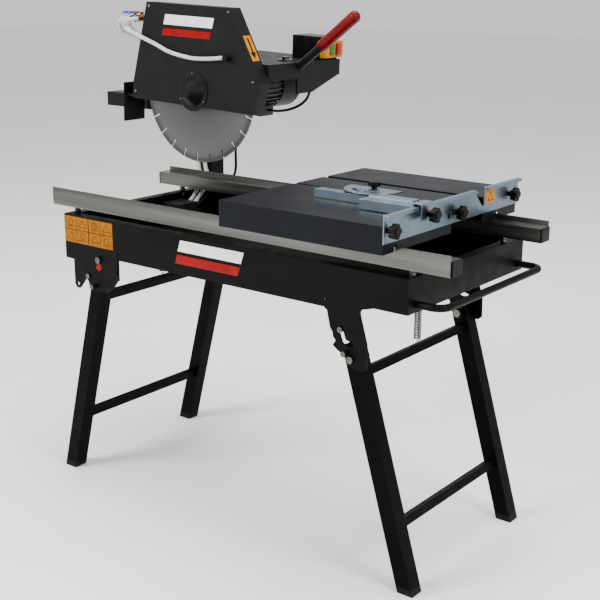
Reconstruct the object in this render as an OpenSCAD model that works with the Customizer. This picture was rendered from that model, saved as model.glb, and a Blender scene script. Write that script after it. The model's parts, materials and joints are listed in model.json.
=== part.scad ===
// Wet tile saw on folding legs: water tray, rolling cart on two rails, and a tilting cutting head.
// +X is the operator's end, +Y the back, +Z up, and the feet stand on Z = 0.

/* [Tray] */
// length of the water tray along X
tray_l = 956; // [800:1:1400]
// width of the water tray along Y
tray_w = 458; // [380:1:700]
// height of the tray's sides
tray_h = 70; // [50:1:120]
// height of the tray's top edge above the floor
tray_top = 654; // [560:1:760]
// thickness of the tray's sheet steel
tray_t = 2.5; // [1.5:0.5:4]
// width of the flange folded inward at the tray's top edge
lip_w = 24; // [16:1:40]

/* [Legs] */
// side of the square leg tube
leg_a = 35; // [25:1:50]
// wall of the leg tube
leg_t = 2; // [1.5:0.5:4]
// splay of the left leg frame from the vertical, in degrees
left_splay = 14.4; // [8:0.1:20]
// splay of the right leg frame from the vertical, in degrees
right_splay = 16.6; // [8:0.1:20]
// side of the square crossbar tube
bar_a = 18; // [12:1:30]

/* [Rails] */
// how far each rail is longer than the tray, at each end
rail_over = 65; // [20:1:120]
// width of the rail tube
rail_w = 36; // [28:1:60]
// height of the rail tube
rail_h = 30; // [20:1:50]
// how far the rail's guide plate stands above its tube
rail_lip = 11; // [4:1:20]
// gap between the tray and the rails, taken up by nuts
rail_gap = 14; // [8:1:30]

/* [Cart] */
// length of the cart's table along X
cart_l = 402; // [300:1:700]
// how far the table overhangs the front rail
front_overhang = 45; // [30:1:90]
// how far the table overhangs the rear rail
rear_overhang = 82; // [30:1:140]
// height of the table above the rails
table_rise = 56; // [45:1:90]
// depth of the skirt folded down around the table
skirt_h = 55; // [35:1:80]
// height of the fence above the table
fence_h = 19; // [12:1:40]
// diameter of the cart's rollers
roller_d = 32; // [20:1:44]

/* [Blade] */
// diameter of the diamond blade
blade_d = 350; // [250:1:400]
// thickness of the blade
blade_t = 3; // [2:0.2:5]
// number of water slots round the rim
slot_count = 24; // [12:1:36]
// height of the blade's centre above the table
blade_rise = 168; // [120:1:220]

/* [Head] */
// depth of the blade guard along Y
guard_d = 37; // [30:1:60]
// outside diameter of the motor
motor_d = 122; // [100:1:150]
// length of the motor's finned body
motor_l = 230; // [160:1:300]
// downward slope of the head at rest, in degrees
head_slope = 2; // [0:0.5:5]
// diameter of the red hand grip
grip_d = 29; // [22:1:40]
// side of the square post behind the tray
post_a = 50; // [40:1:70]

/* [Hidden] */
$fn = 48;
gap = 0.3;
run_gap = 0.05;
tray_bottom = tray_top - tray_h;
half_l = tray_l / 2;
half_w = tray_w / 2;
plate_t = 4;
leg_y = half_w - plate_t - 0.5 - leg_a / 2;
left_pivot = [-half_l + 114, tray_bottom - leg_a / 2 - 8.5];
left_stop = [-leg_a / 2 / cos(left_splay) - 44 * tan(left_splay) - 8.6, -44];
right_stop = [-26, 57];
right_pivot = [half_l - 127.5, tray_bottom - 114];
pin_r = 6;
rail_z = tray_top + rail_gap;
rail_top = rail_z + rail_h;
rail_l = tray_l + 2 * rail_over;
rail_x = 15 - rail_l / 2;
front_rail_y = -half_w + 14;
rear_rail_y = half_w - 51;
cap_t = 4;
cart_x = 36;
cart_y = front_rail_y - front_overhang;
cart_w = rear_rail_y + rear_overhang - cart_y;
cart_top = rail_top + table_rise;
sheet = 3;
blade_x = -348;
blade_z = cart_top + blade_rise;
blade_y = 105;
slot_y = [96, 114];
table_gap_y = [-12.5, -3];
under_top = cart_top - 20;
chassis_h = 18;
axle_z = rail_top + roller_d / 2 + 0.1;
roller_w = 22;
axle_d = 10;
side_t = 4;
front_side_y = front_rail_y + rail_w + 10;
rear_side_y = rear_rail_y - rail_w - 10;
wheel_x = [cart_x + 42, cart_x + cart_l - 42];
fence_t = 3;
fence_x = cart_x + cart_l;
fence_bottom = cart_top - 34;
fence_top = cart_top + fence_h;
knob_x = fence_x + fence_t;
near_knob_y = cart_y + 12;
guide_knob_y = -128;
joint_knob_y = -4;
far_knob_y = cart_y + cart_w - 39;
guard_y = 80;
cover_t = 2;
guard_t = 2;
hood_top = 78;
hood_bottom = 39.5;
hood_left = -150;
hood_right = 205;
hood_back = 399;
pivot_x = -560;
pivot_z = blade_z + 3;
pivot_d = 16;
beam_y = [150, 200];
beam_z = [blade_z - 66, blade_z - 30];
beam_left = -726;
post_x = -523;
post_y = half_w + 51;
motor_y = 133;
shaft_d = 24;
handle_base = [hood_right, 232, 68];
handle_angle = 39;
handle_d = 21;
handle_l = 82;
grip_l = 132;
switch_x = [112, 200];
switch_y = [322, 392];
switch_z = [hood_top, hood_top + 56];
plate_x = switch_x[1] + 16;
valve_z = blade_z + 166;
valve_red = [-549, 114];
valve_blue = [-549, 91];
hose_d = 10;

// Middle of everything, so that the origin is under the middle of the saw.
most_left = beam_left;
most_right = rail_x + rail_l + cap_t;
most_front = near_knob_y - 15;
fan_cover_end = motor_y + motor_l + 76;
frame_x = -(most_left + most_right) / 2;
frame_y = -(most_front + fan_cover_end) / 2;

// Outline of the blade guard about the blade's centre, in X and Z.
guard_outline = [[-207, -36.5], [193, -36.5], [211, 37], [115, 202], [-156, 202], [-204, 5]];

// Routes of the hoses and cables, each through a few chosen points.
spray_route = [[-531, 80, 1088], [-533, 66, 1087], [-545, 60, 1085], [-559, 63, 1077], [-561, 69, 1066],
    [-549, 70, 1059], [-515, 70, 1047], [-465, 70, 1031], [-418, 70, 1014], [-371, 70, 1005],
    [-328, 70, 1001], [-277, 70, 1003], [-240, 70, 1007]];
inner_supply_route = [[-416, 141, 630], [-416, 152, 630], [-416, 172, 644], [-420, 192, 661],
    [-430, 212, 672], [-450, 242, 678], [-474, 264, 685], [-487, 271, 704], [-490, 271, 740],
    [-490, 271, 780], [-496, 262, 812], [-515, 248, 833], [-531, 242, 852], [-532, 240, 880],
    [-536, 236, 910], [-542, 227, 940], [-552, 214, 975], [-566, 196, 1010], [-590, 150, 1045],
    [-602, 122, 1072], [-584, 114, 1088], [-567.5, 114, 1088]];
outer_supply_route = [[-434, 141, 630], [-434, 152, 630], [-435, 172, 644], [-442, 192, 661],
    [-456, 212, 672], [-478, 242, 678], [-500, 264, 685], [-510, 271, 704], [-511, 271, 740],
    [-511, 271, 790], [-518, 271, 815], [-530, 270, 838], [-532, 268, 860], [-532, 265, 885],
    [-538, 256, 915], [-546, 246, 945], [-558, 232, 975], [-576, 208, 1005], [-604, 160, 1035],
    [-620, 115, 1055], [-610, 94, 1078], [-588, 91, 1088], [-567.5, 91, 1088]];
pump_cable_route = [[-397, 133, 629], [-397, 144, 629], [-395, 172, 643], [-391, 192, 662],
    [-387, 214, 672], [-385, 242, 678], [-383, 266, 686], [-383, 276, 708], [-383, 276, 750],
    [-386, 282, 800], [-420, 292, 850], [-458, 296, 900], [-472, 286, 940], [-470, 268, 970],
    [-470, 262, 988], [-470, 262, 1001]];
motor_cable_route = [[-158, 302, 990], [-158, 301, 975], [-157, 298, 945], [-156, 294, 920],
    [-157, 288, 905], [-166, 283, 892], [-185, 280, 880], [-215, 282, 870], [-250, 290, 864],
    [-278, 298, 862], [-295, 302, 862]];

// ---- helpers ----

module in_frame() {
    translate([frame_x, frame_y, 0]) children();
}

// Places a piece of the head: its X and Z are counted from the blade's centre, along the head's slope.
module on_head() {
    in_frame() translate([blade_x, 0, blade_z]) rotate([0, head_slope, 0]) children();
}

// A box from one corner to the other.
module block(low, high) {
    translate(low) cube(high - low);
}

module rod_x(x0, x1, y, z, d) {
    translate([x0, y, z]) rotate([0, 90, 0]) cylinder(h = x1 - x0, d = d);
}

module rod_y(x, y0, y1, z, d) {
    translate([x, y0, z]) rotate([-90, 0, 0]) cylinder(h = y1 - y0, d = d);
}

module hex_y(x, y0, y1, z, d) {
    translate([x, y0, z]) rotate([-90, 0, 0]) linear_extrude(y1 - y0) hexagon(d);
}

module hexagon(d) {
    polygon([for (i = [0:5]) d / 2 * [cos(60 * i), sin(60 * i)]]);
}

// A plate with its outline in X and Z, from y0 back to y1.
module plate_xz(outline, y0, y1) {
    translate([0, y1, 0]) rotate([90, 0, 0]) linear_extrude(y1 - y0) polygon(outline);
}

// A plate with its outline in Y and Z, from x0 to x1.
module plate_yz(outline, x0, x1) {
    translate([x0, 0, 0]) rotate([90, 0, 90]) linear_extrude(x1 - x0) polygon(outline);
}

function unit(v) = v / norm(v);
// A smooth curve through the points: n steps between each two.
function smooth(p, n) = concat([for (i = [0:len(p) - 2], s = [0:n - 1])
    let (a = p[max(i - 1, 0)], b = p[i], c = p[i + 1], d = p[min(i + 2, len(p) - 1)], t = s / n)
    0.5 * (2 * b + (c - a) * t + (2 * a - 5 * b + 4 * c - d) * t * t
        + (3 * b - a - 3 * c + d) * t * t * t)], [p[len(p) - 1]]);
function heading(p, i) = unit(p[min(i + 1, len(p) - 1)] - p[max(i - 1, 0)]);
function square_to(t, last) = unit(last - (last * t) * t);
// Side vectors carried along the path, so that the tube doesn't twist.
function sides_of(p, i = 0, last = [0.31, 0.52, 0.79], out = []) = i == len(p) ? out :
    let (v = square_to(heading(p, i), last)) sides_of(p, i + 1, v, concat(out, [v]));

// A round tube or wire of diameter d that follows path p.
module sweep(p, d, sides = 10) {
    side = sides_of(p);
    pts = [for (i = [0:len(p) - 1], k = [0:sides - 1])
        let (t = heading(p, i), u = side[i], w = cross(t, u), a = 360 * k / sides)
        p[i] + d / 2 * (cos(a) * u + sin(a) * w)];
    n = len(p);
    faces = concat([[for (k = [0:sides - 1]) k]],
        [for (i = [0:n - 2], k = [0:sides - 1]) let (j = (k + 1) % sides)
            [i * sides + j, i * sides + k, (i + 1) * sides + k, (i + 1) * sides + j]],
        [[for (k = [sides - 1:-1:0]) (n - 1) * sides + k]]);
    polyhedron(pts, faces, convexity = 6);
}

// A tension spring of wire d and coil diameter c, standing on Z between z0 and z1.
module coil_spring(x, y, z0, z1, c, d, turns) {
    n = turns * 8;
    lead = 7;
    path = concat([[x, y, z0], [x, y, z0 + lead - 2]],
        [for (i = [0:n]) [x + c / 2 * cos(45 * i), y + c / 2 * sin(45 * i),
            z0 + lead + (z1 - z0 - 2 * lead) * i / n]],
        [[x, y, z1 - lead + 2], [x, y, z1]]);
    sweep(path, d, 5);
}

// A five-lobed hand knob on a stem, facing +X from the fence.
module star_knob(y, z, stem) {
    x0 = knob_x + gap;
    rod_x(x0, x0 + stem, y, z, 11);
    translate([x0 + stem, y, z]) rotate([0, 90, 0]) linear_extrude(12) union() {
        circle(d = 24);
        for (i = [0:4]) rotate(72 * i + 18) translate([10, 0]) circle(d = 10.5);
    }
    rod_x(x0 + stem + 12, x0 + stem + 14, y, z, 16);
}

// ---- tray, brackets and rails ----

module water_tray() {
    drop = 18;
    in_frame() color("#2d2d2c") {
        difference() {
            block([-half_l, -half_w, tray_bottom], [half_l, half_w, tray_top]);
            block([-half_l + tray_t, -half_w + tray_t, tray_bottom + tray_t],
                [half_l - tray_t, half_w - tray_t, tray_top - tray_t]);
            block([-half_l + lip_w, -half_w + lip_w, tray_bottom + tray_t],
                [half_l - lip_w, half_w - lip_w, tray_top + 1]);
            for (x = [-half_l + lip_w / 2, half_l - lip_w / 2])
                for (y = [front_rail_y + rail_w / 2, rear_rail_y - rail_w / 2])
                    translate([x, y, tray_top - 10]) cylinder(h = 20, d = 8.6);
        }
        for (m = [0, 1]) mirror([0, m, 0]) {
            block([left_pivot[0] + 62, -half_w + 1, tray_bottom - drop],
                [right_pivot[0] - 68, -half_w + tray_t + 1, tray_bottom]);
            block([left_pivot[0] + 62, -half_w + tray_t + 1, tray_bottom - tray_t],
                [right_pivot[0] - 68, -half_w + lip_w, tray_bottom]);
        }
    }
}

// Outline of a left bracket about its leg's pivot.
function left_plate() = let (x = left_pivot[0], z = left_pivot[1])
    [[-half_l, tray_bottom], [-half_l, z - 10], [x - 87, z - 11], [x - 87, z - 70],
    [x - 81, z - 79], [x - 71, z - 79], [x - 63, z - 71], [x - 47, z - 50], [x - 39, z - 58],
    [x - 36, z - 74], [x - 5, z - 76], [x + 19, z - 76], [x + 43, z - 61], [x + 57, z - 43],
    [x + 61, z - 27], [x + 56, z - 19], [x + 60, z + 5], [x + 61, tray_bottom]];

module left_bracket() {
    x = left_pivot[0];
    z = left_pivot[1];
    difference() {
        plate_xz(left_plate(), -half_w, -half_w + plate_t);
        rod_y(x - 76, -half_w - 1, -half_w + 6, z - 69, 9);
        rod_y(x, -half_w - 1, -half_w + 6, z, 12.2);
        rod_y(x + left_stop[0], -half_w - 1, -half_w + 6, z + left_stop[1], 10.2);
        rod_y(x - 17, -half_w - 1, -half_w + 6, z - 65, 8.2);
    }
    difference() {
        block([x - 50, -leg_y + leg_a / 2 + 0.5, z - 56], [x + 20, -leg_y + leg_a / 2 + 4.5, tray_bottom]);
        rod_y(x, -leg_y, -leg_y + 40, z, 12.2);
        rod_y(x + left_stop[0], -leg_y, -leg_y + 40, z + left_stop[1], 10.2);
    }
    block([x - 50, -half_w + plate_t, tray_bottom - 2.5], [x + 40, -leg_y + leg_a / 2 + 0.5, tray_bottom]);
}

module front_left_bracket() {
    in_frame() color("#2d2d2c") left_bracket();
}

module rear_left_bracket() {
    in_frame() color("#2d2d2c") mirror([0, 1, 0]) left_bracket();
}

// Outline of a right bracket about its leg's pivot.
function right_plate() = let (x = right_pivot[0], z = right_pivot[1])
    [[x - 65, tray_bottom], [x - 67, z + 95], [x - 60, z + 91], [x - 52, z + 57], [x - 46, z + 49],
    [x - 44, z + 39], [x - 38, z + 32], [x - 45, z + 22], [x - 34, z + 14], [x - 20, z + 7],
    [x - 2, z - 13], [x + 10, z - 20], [x + 30, z - 19], [x + 38, z - 12], [x + 37, z + 34],
    [x + 28, z + 58], [x + 16, z + 94], [x + 22, z + 106], [x + 51, tray_bottom]];

// The hooked slot that the stop bar sits in, about the leg's pivot.
module hook_slot() {
    x = right_pivot[0];
    z = right_pivot[1];
    for (p = [[x - 26, z + 57], [x - 17, z + 34], [x, z + 30]])
        rod_y(p[0], -half_w - 1, -half_w + 6, p[1], 10.2);
    plate_xz([[x - 30.8, z + 55.2], [x - 21.8, z + 32.2], [x - 12.2, z + 35.8], [x - 21.2, z + 58.8]],
        -half_w - 1, -half_w + 6);
    plate_xz([[x - 18.2, z + 29], [x - 1.2, z + 25], [x + 1.2, z + 35], [x - 15.8, z + 39]],
        -half_w - 1, -half_w + 6);
}

module right_bracket() {
    x = right_pivot[0];
    z = right_pivot[1];
    difference() {
        plate_xz(right_plate(), -half_w, -half_w + plate_t);
        hook_slot();
        rod_y(x, -half_w - 1, -half_w + 6, z, 12.2);
        rod_y(x - 11, -half_w - 1, -half_w + 6, z + 12, 8.2);
    }
    difference() {
        plate_xz([[x - 12, z - 13], [x + 10, z - 13], [x + 10, z + 20], [x - 8, z + 80], [x - 8, tray_bottom],
            [x - 45, tray_bottom], [x - 45, z + 45], [x - 12, z + 14]],
            -leg_y + leg_a / 2 + 0.5, -leg_y + leg_a / 2 + 4.5);
        rod_y(x, -leg_y, -leg_y + 40, z, 12.2);
        rod_y(x + right_stop[0], -leg_y, -leg_y + 40, z + right_stop[1], 10.2);
    }
    block([x - 45, -half_w + plate_t, tray_bottom - 2.5], [x + 36, -leg_y + leg_a / 2 + 0.5, tray_bottom]);
}

module front_right_bracket() {
    in_frame() color("#2d2d2c") right_bracket();
}

module rear_right_bracket() {
    in_frame() color("#2d2d2c") mirror([0, 1, 0]) right_bracket();
}

module push_handle() {
    d = 15;
    r = 26;
    out = 60;
    reach = half_w - 52;
    z = tray_bottom + 17;
    in_frame() color("#2d2d2c") {
        rod_handle_side(d, r, out, reach, z);
        mirror([0, 1, 0]) rod_handle_side(d, r, out, reach, z);
        rod_y(half_l + out, -reach, reach, z, d);
    }
}

// One end of the push handle: a bend and the short run back to the tray.
module rod_handle_side(d, r, out, reach, z) {
    translate([half_l + out - r, -reach, z]) rotate([0, 0, 270])
        rotate_extrude(angle = 90) translate([r, 0]) circle(d = d);
    rod_x(half_l, half_l + out - r, -reach - r, z, d);
}

// A rail: a square-edged tube with a guide plate on its outer side. side is 1 for the front rail.
module rail(y, side) {
    t = 2;
    inner = y + side * rail_w;
    difference() {
        union() {
            block([rail_x, min(y, inner), rail_z], [rail_x + rail_l, max(y, inner), rail_top]);
            block([rail_x, min(y, y - side * t), rail_z],
                  [rail_x + rail_l, max(y, y - side * t), rail_top + rail_lip]);
        }
        block([rail_x - 1, min(y, inner) + t, rail_z + t],
              [rail_x + rail_l + 1, max(y, inner) - t, rail_top - t]);
        for (x = [-half_l + lip_w / 2, half_l - lip_w / 2])
            translate([x, y + side * rail_w / 2, rail_z - 1]) cylinder(h = 10, d = 8.6);
    }
}

module front_rail() {
    in_frame() color("#8d8d88") rail(front_rail_y, 1);
}

module rear_rail() {
    in_frame() color("#8d8d88") rail(rear_rail_y, -1);
}

module rail_end_caps() {
    in_frame() color("#141414") for (x = [rail_x - cap_t, rail_x + rail_l]) {
        block([x, front_rail_y, rail_z], [x + cap_t, front_rail_y + rail_w, rail_top]);
        block([x, rear_rail_y - rail_w, rail_z], [x + cap_t, rear_rail_y, rail_top]);
    }
}

module rail_bolts() {
    in_frame() color("#c9c9c6") for (x = [-half_l + lip_w / 2, half_l - lip_w / 2])
        for (y = [front_rail_y + rail_w / 2, rear_rail_y - rail_w / 2])
            translate([x, y, 0]) {
                translate([0, 0, tray_top - 14]) cylinder(h = rail_gap + 22, d = 8);
                translate([0, 0, tray_top - tray_t - 6.5]) linear_extrude(6.5) hexagon(15);
                translate([0, 0, tray_top]) linear_extrude(6.5) hexagon(15);
                translate([0, 0, rail_z - 6.5]) linear_extrude(6.5) hexagon(15);
            }
}

// ---- post and beam that carry the head ----

module column() {
    t = 3;
    bottom = tray_bottom - 60;
    in_frame() color("#333333") {
        difference() {
            block([post_x, post_y, bottom], [post_x + post_a, post_y + post_a, beam_z[0]]);
            block([post_x + t, post_y + t, bottom - 1],
                  [post_x + post_a - t, post_y + post_a - t, beam_z[0] + 1]);
        }
        difference() {
            block([post_x, half_w + 6, tray_bottom + 5], [post_x + 170, post_y, tray_top - 15]);
            block([post_x - 1, half_w + 6 + t, tray_bottom + 5 + t],
                  [post_x + 171, post_y - t, tray_top - 15 - t]);
        }
        block([-half_l + 4, half_w, tray_bottom + 1], [post_x + 175, half_w + 6, tray_top - 6]);
    }
}

module support_beam() {
    t = 3;
    x1 = post_x + post_a;
    in_frame() color("#333333") {
        difference() {
            union() {
                block([beam_left, beam_y[0], beam_z[0]], [x1, beam_y[1], beam_z[1]]);
                block([post_x, beam_y[1], beam_z[0]], [x1, post_y + post_a, beam_z[1]]);
            }
            block([beam_left + t, beam_y[0] + t, beam_z[0] + t], [x1 - t, beam_y[1] - t, beam_z[1] - t]);
            block([post_x + t, beam_y[1] - t - 1, beam_z[0] + t],
                  [x1 - t, post_y + post_a - t, beam_z[1] - t]);
        }
        for (y = [beam_y[0], beam_y[1] - 7]) difference() {
            union() {
                block([pivot_x - 20, y, beam_z[1]], [pivot_x + 20, y + 7, pivot_z]);
                rod_y(pivot_x, y, y + 7, pivot_z, 40);
            }
            rod_y(pivot_x, y - 1, y + 8, pivot_z, pivot_d + 0.1);
        }
    }
}

// The head's pivot bolt, the four leg bolts and the four stop bars of the legs.
module pivot_bolts() {
    y0 = half_w;
    in_frame() color("#b9b9b4") {
        rod_y(pivot_x, beam_y[0] - 3, beam_y[1] + 3, pivot_z, pivot_d);
        hex_y(pivot_x, beam_y[0] - 13, beam_y[0] - 0.01, pivot_z, 28);
        hex_y(pivot_x, beam_y[1] + 0.01, beam_y[1] + 12, pivot_z, 28);
        for (m = [0, 1]) mirror([0, m, 0]) {
            for (p = [left_pivot, right_pivot]) {
                rod_y(p[0], -y0 - 1, -leg_y + leg_a / 2 + 8, p[1], 12);
                hex_y(p[0], -y0 - 6, -y0 - 0.01, p[1], 17);
                hex_y(p[0], -leg_y + leg_a / 2 + 4.51, -leg_y + leg_a / 2 + 12, p[1], 20);
            }
            for (p = [left_pivot + left_stop, right_pivot + right_stop]) {
                rod_y(p[0], -y0 - 3, -leg_y + leg_a / 2 + 7, p[1], 10);
                rod_y(p[0], -y0 - 4, -y0 - 0.01, p[1], 12);
            }
        }
    }
}

module water_pump() {
    z = tray_bottom + tray_t;
    in_frame() color("#2b3038") {
        block([-454, 60, z], [-384, 140, z + 34]);
        block([-448, 68, z + 34], [-390, 132, z + 52]);
        for (x = [-434, -416]) rod_y(x, 130, 140.5, z + 43.5, 8);
    }
}

module inner_supply_hose() {
    in_frame() color("#cfd3d4") sweep(smooth(inner_supply_route, 4), 11);
}

module outer_supply_hose() {
    in_frame() color("#cfd3d4") sweep(smooth(outer_supply_route, 4), 11);
}

module pump_cable() {
    in_frame() color("#111111") sweep(smooth(pump_cable_route, 4), 7, 8);
}

// A coil from the tray's underside to the leg frame's upper crossbar.
module left_spring() {
    in_frame() color("#a9a9a2")
        coil_spring(left_bar_x(), 0, left_bar_z() + bar_a * 0.65, tray_bottom - 0.5, 16, 2.2, 11);
}

module right_spring() {
    in_frame() color("#a9a9a2")
        coil_spring(right_bar_x(), 0, right_bar_z() + bar_a * 0.65, tray_bottom - 0.5, 16, 2.2, 11);
}

// ---- legs ----

left_len = left_pivot[1] / cos(left_splay);
right_len = right_pivot[1] / cos(right_splay);
left_upper = 100;
right_upper = 34;
left_lower = left_len - 148;
right_lower = right_len - 138;
function left_bar_x() = left_pivot[0] - left_upper * sin(left_splay);
function left_bar_z() = left_pivot[1] - left_upper * cos(left_splay);
function right_bar_x() = right_pivot[0] + right_upper * sin(right_splay);
function right_bar_z() = right_pivot[1] - right_upper * cos(right_splay);

// An H-shaped leg frame: its pivot is the origin and it hangs along -Z before it is splayed.
module leg_frame(length, splay, above, upper, lower) {
    far = length + leg_a;
    intersection() {
        rotate([0, splay, 0]) for (m = [0, 1]) mirror([0, m, 0]) {
            difference() {
                block([-leg_a / 2, -leg_y - leg_a / 2, -far], [leg_a / 2, -leg_y + leg_a / 2, above]);
                block([-leg_a / 2 + leg_t, -leg_y - leg_a / 2 + leg_t, -far - 1],
                    [leg_a / 2 - leg_t, -leg_y + leg_a / 2 - leg_t, above + 1]);
                rod_y(0, -leg_y - 30, -leg_y + 30, 0, 12.2);
            }
            for (d = [upper, lower])
                block([-bar_a / 2, -leg_y + leg_a / 2, -d - bar_a / 2], [bar_a / 2, 0, -d + bar_a / 2]);
        }
        block([-400, -half_w, -length * cos(splay)], [400, half_w, 100]);
    }
}

module left_leg_frame() {
    in_frame() color("#161616") translate([left_pivot[0], 0, left_pivot[1]])
        leg_frame(left_len, left_splay, 12, left_upper, left_lower);
}

module right_leg_frame() {
    in_frame() color("#161616") translate([right_pivot[0], 0, right_pivot[1]])
        leg_frame(right_len, -right_splay, 30, right_upper, right_lower);
}

// A sprung pin through the front bracket, whose tip bears on the leg.
module lock_pin(x, z) {
    rod_y(x, -half_w - 9, -half_w + plate_t + 0.3, z, 8);
    rod_y(x, -half_w - 13, -half_w - 2, z, 12);
}

module left_lock_pin() {
    in_frame() color("#c4c4c0") lock_pin(left_pivot[0] - 17, left_pivot[1] - 65);
}

module right_lock_pin() {
    in_frame() color("#c4c4c0") lock_pin(right_pivot[0] - 11, right_pivot[1] + 12);
}

// ---- cart ----

// A table panel from y0 to y1, with a skirt on each outer edge named in sides.
module table_panel(y0, y1, front, back, low) {
    x1 = cart_x + cart_l;
    block([cart_x, y0, cart_top - sheet], [x1, y1, cart_top]);
    block([cart_x, y0, cart_top - low], [cart_x + sheet, y1, cart_top - sheet]);
    block([x1 - sheet, y0, cart_top - low], [x1, y1, cart_top - sheet]);
    if (front) block([cart_x + sheet, y0, cart_top - low], [x1 - sheet, y0 + sheet, cart_top - sheet]);
    if (back) block([cart_x + sheet, y1 - sheet, cart_top - low], [x1 - sheet, y1, cart_top - sheet]);
}

// Cuts the end skirts free of the guide plate of the rail whose outer face is at y.
module rail_notch(y, side) {
    block([cart_x - 1, min(y - side * 6, y + side * 4), 0],
        [cart_x + cart_l + 1, max(y - side * 6, y + side * 4), rail_top + rail_lip + 3]);
}

module front_table() {
    in_frame() color("#3a3d45") difference() {
        table_panel(cart_y, table_gap_y[0], true, false, skirt_h);
        rail_notch(front_rail_y, 1);
    }
}

module middle_table() {
    in_frame() color("#3a3d45") table_panel(table_gap_y[1], slot_y[0], false, false, 19);
}

module rear_table() {
    in_frame() color("#3a3d45") difference() {
        table_panel(slot_y[1], cart_y + cart_w, false, true, skirt_h);
        rail_notch(rear_rail_y, -1);
    }
}

// Two cross members, two side bars with axle pins, and pads up to the table panels.
module cart_chassis() {
    z1 = under_top - 2;
    z0 = z1 - chassis_h;
    beam_x = [cart_x + 76, cart_x + cart_l - 106];
    in_frame() color("#2a2a2a") {
        for (x = beam_x) {
            block([x, cart_y + 8, z0], [x + 30, cart_y + cart_w - 8, z1]);
            for (y = [cart_y + 20, -60, 2, 66, 122, 220])
                block([x, y, z1], [x + 30, y + 24, cart_top - sheet]);
        }
        for (y = [front_side_y, rear_side_y - side_t])
            for (s = [[cart_x + 20, beam_x[0]], [beam_x[0] + 30, beam_x[1]],
                      [beam_x[1] + 30, cart_x + cart_l - 20]])
                block([s[0], y, axle_z - 12], [s[1], y + side_t, z1]);
        for (x = wheel_x) {
            rod_y(x, front_rail_y + 5, front_side_y, axle_z, axle_d);
            rod_y(x, rear_side_y, rear_rail_y - 5, axle_z, axle_d);
        }
    }
}

// A grooved roller on its axle pin.
module roller(x, y) {
    in_frame() color("#55585a") difference() {
        rod_y(x, y, y + roller_w, axle_z, roller_d);
        rod_y(x, y - 1, y + roller_w + 1, axle_z, axle_d + 2 * run_gap);
    }
}

module front_left_roller() {
    roller(wheel_x[0], front_rail_y + 6);
}

module front_right_roller() {
    roller(wheel_x[1], front_rail_y + 6);
}

module rear_left_roller() {
    roller(wheel_x[0], rear_rail_y - 6 - roller_w);
}

module rear_right_roller() {
    roller(wheel_x[1], rear_rail_y - 6 - roller_w);
}

// A folded fence strip from y0 to y1, with its top edge turned out away from the table.
module fence_strip(y0, y1) {
    block([fence_x, y0, fence_bottom], [fence_x + fence_t, y1, fence_top]);
    block([fence_x, y0, fence_top], [fence_x + 12, y1, fence_top + 2.5]);
    block([fence_x + 9.5, y0, fence_top - 4], [fence_x + 12, y1, fence_top]);
}

module near_fence() {
    in_frame() color("#9aa7b1") difference() {
        fence_strip(cart_y - 1, -10);
        block([fence_x - 1, -34, cart_top - 22], [fence_x + 4, -22, cart_top - 10]);
    }
}

// The far fence has a notch for the blade, square at the back and slanted at the front for bevel cuts.
module far_fence() {
    in_frame() color("#9aa7b1") difference() {
        fence_strip(-9.5, cart_y + cart_w + 1);
        plate_yz([[slot_y[0] - 30, fence_top + 3], [slot_y[0] + 9, cart_top - 17],
            [slot_y[1], cart_top - 17], [slot_y[1], fence_top + 3]], fence_x - 1, fence_x + 14);
    }
}

module near_knob() {
    in_frame() color("#17181a") star_knob(near_knob_y, cart_top - 9, 9);
}

module joint_knob() {
    in_frame() color("#17181a") star_knob(joint_knob_y, cart_top - 13, 9);
}

module far_knob() {
    in_frame() color("#17181a") star_knob(far_knob_y, cart_top - 8, 9);
}

module guide_knob() {
    in_frame() color("#17181a") translate([13.5, 0, 0]) star_knob(guide_knob_y, cart_top + 4, 8);
}

// ---- angle guide on the cart ----

guide_pivot = [fence_x - 155, -62];
guide_slot_r = 42;
guide_z = cart_top + 2;

// A channel along X with a hooked bracket over the fence and a half-round protractor at its end.
module guide_channel() {
    x1 = fence_x - 2;
    g = guide_z;
    in_frame() color("#a5b1ba") difference() {
        union() {
            block([x1 - 122, -160, g + 17.5], [x1, -122, g + 20]);
            block([x1 - 122, -160, g], [x1, -157.5, g + 17.5]);
            block([x1 - 92, -122, g + 17.5], [x1, -97, g + 20]);
            block([x1 - 3, -154, g + 20], [x1, -112, fence_top + 6]);
            block([x1 - 3, -154, fence_top + 6], [fence_x + 16.5, -112, fence_top + 8.5]);
            block([fence_x + 14, -154, fence_top - 26], [fence_x + 16.5, -112, fence_top + 6]);
            translate([guide_pivot[0], guide_pivot[1], g + 20]) linear_extrude(2.5) intersection() {
                circle(d = 124);
                translate([-70, -70]) square([140, 82]);
            }
            block([guide_pivot[0] + 30, -126, g + 20], [x1 - 20, -100, g + 22.5]);
        }
        translate([guide_pivot[0], guide_pivot[1], g + 10]) cylinder(h = 20, d = 10.1);
        translate([guide_pivot[0], guide_pivot[1], g + 10]) difference() {
            cylinder(h = 20, r = guide_slot_r + 4.5);
            translate([0, 0, -1]) cylinder(h = 22, r = guide_slot_r - 4.5);
            translate([-60, 3, -1]) cube([120, 60, 30]);
            translate([-60, -60, -1]) cube([25, 70, 30]);
            translate([35, -60, -1]) cube([25, 70, 30]);
        }
    }
}

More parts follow.
